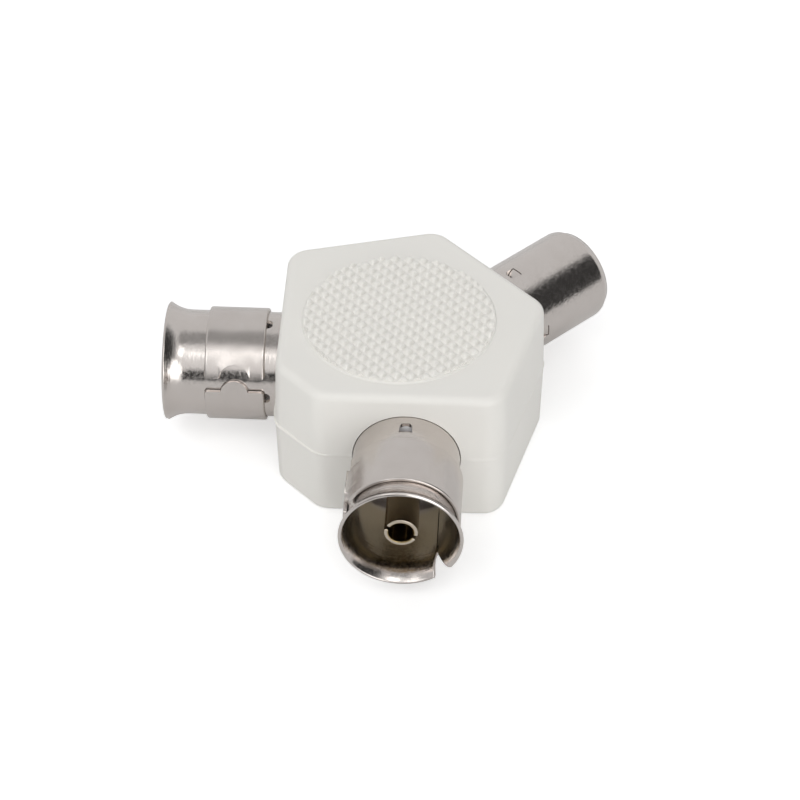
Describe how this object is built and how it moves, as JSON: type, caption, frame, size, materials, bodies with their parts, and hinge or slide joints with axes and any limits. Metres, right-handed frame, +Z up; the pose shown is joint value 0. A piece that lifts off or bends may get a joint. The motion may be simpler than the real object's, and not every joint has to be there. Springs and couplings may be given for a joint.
{
  "type": "coaxial splitter",
  "caption": "Y-shaped aerial splitter: a six-sided moulded housing with a round grip pad takes a signal at its coaxial plug and shares it between coaxial sockets.",
  "frame": {"origin": "centre of the flat base, straight below the crossing of the three fitting axes", "axes": "+Z up, +Y along the plug, the sockets 45 degrees either side of -Y"},
  "size_m": [0.0424, 0.0435, 0.0155],
  "materials": {
    "housing": "fine satin moulding",
    "nickel_plate": "nickel plated sheet brass",
    "spring_steel": "nickel plated strip",
    "insulator": "natural polyethylene",
    "contact": "nickel plated brass",
    "tinplate": "tinned steel sheet",
    "solder": "bright tin alloy",
    "ferrite": "sintered, matt",
    "enamelled_wire": "clear enamel on copper",
    "resistor_body": "lacquer",
    "tinned_wire": "tinned"
  },
  "bodies": {
    "root": {"upper_shell": "housing", "lower_shell": "housing", "plug_sleeve": "nickel_plate", "plug_insulator": "insulator", "plug_pin": "contact", "left_socket_sleeve": "nickel_plate", "right_socket_sleeve": "nickel_plate", "left_spring_ring": "spring_steel", "right_spring_ring": "spring_steel", "left_insulator": "insulator", "right_insulator": "insulator", "left_contact": "contact", "right_contact": "contact", "ground_plate": "tinplate", "ground_solder": "solder", "matching_core": "ferrite", "splitting_core": "ferrite", "matching_winding": "enamelled_wire", "splitting_winding": "enamelled_wire", "link_wire": "enamelled_wire", "resistor": "resistor_body", "left_resistor_lead": "tinned_wire", "right_resistor_lead": "tinned_wire"}
  },
  "joints": []
}
